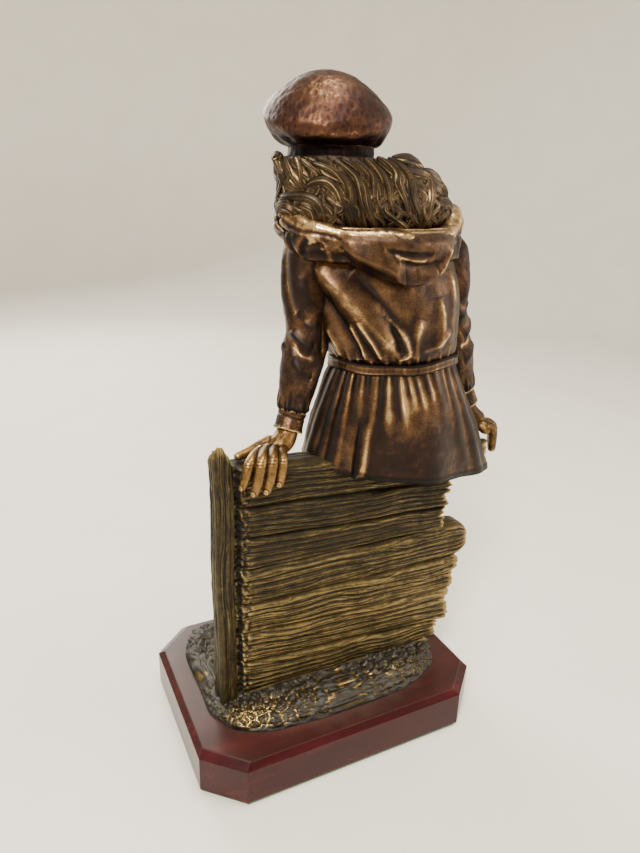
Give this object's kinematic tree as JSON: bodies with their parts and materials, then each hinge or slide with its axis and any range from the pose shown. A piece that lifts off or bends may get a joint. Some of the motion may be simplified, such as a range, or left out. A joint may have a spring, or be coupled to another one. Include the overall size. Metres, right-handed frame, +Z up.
{
  "type": "souvenir figurine",
  "caption": "Bronze-look figurine of a girl in a cap and hooded tunic, seated on a plank fence, on a lacquered octagonal wooden plinth.",
  "frame": {"origin": "centre of the felt pad's underside, on the surface that the figurine stands on", "axes": "+Z up, X along the fence with the figure's left hand on +X, the figure faces -Y"},
  "size_m": [0.1662, 0.103, 0.288],
  "materials": {
    "green_felt": "matt felt",
    "lacquered_wood": "glossy dark red lacquer",
    "steel_fittings": "plain",
    "bronze_ground": "cold-cast bronze, rough, gold rub-through",
    "bronze_timber": "cold-cast bronze, deep grain, olive gold ridges",
    "bronze_cap": "cold-cast bronze, red brown, fine pitting",
    "bronze_hair": "cold-cast bronze, gold strands over dark grooves",
    "bronze_skin": "cold-cast bronze, rubbed gold",
    "bronze_leather": "cold-cast bronze, dark with rubbed edges",
    "bronze_cloth": "cold-cast bronze, dark brown with gold and copper highlights"
  },
  "bodies": {
    "root": {"felt_pad": "green_felt", "plinth": "lacquered_wood", "plinth_screws": "steel_fittings", "screw_washers": "steel_fittings", "ground": "bronze_ground", "left_post": "bronze_timber", "right_post": "bronze_timber", "top_rail": "bronze_timber", "plank_2": "bronze_timber", "plank_3": "bronze_timber", "plank_4": "bronze_timber", "plank_5": "bronze_timber", "plank_6": "bronze_timber", "plank_7": "bronze_timber", "plank_8": "bronze_timber", "fence_pins": "steel_fittings", "hip_pins": "steel_fittings", "boot_pins": "steel_fittings", "skirt": "bronze_cloth", "belt": "bronze_leather", "belt_buckle": "bronze_leather", "waist_pin": "steel_fittings", "tunic_body": "bronze_cloth", "hood": "bronze_cloth", "hood_roll": "bronze_cloth", "neck_pin": "steel_fittings", "head": "bronze_skin", "hair": "bronze_hair", "cap_band": "bronze_cap", "cap_crown": "bronze_cap", "left_sleeve": "bronze_cloth", "right_sleeve": "bronze_cloth", "left_cuff": "bronze_cloth", "right_cuff": "bronze_cloth", "left_hand": "bronze_skin", "right_hand": "bronze_skin", "left_leg": "bronze_cloth", "right_leg": "bronze_cloth", "left_boot": "bronze_leather", "right_boot": "bronze_leather"}
  },
  "joints": []
}
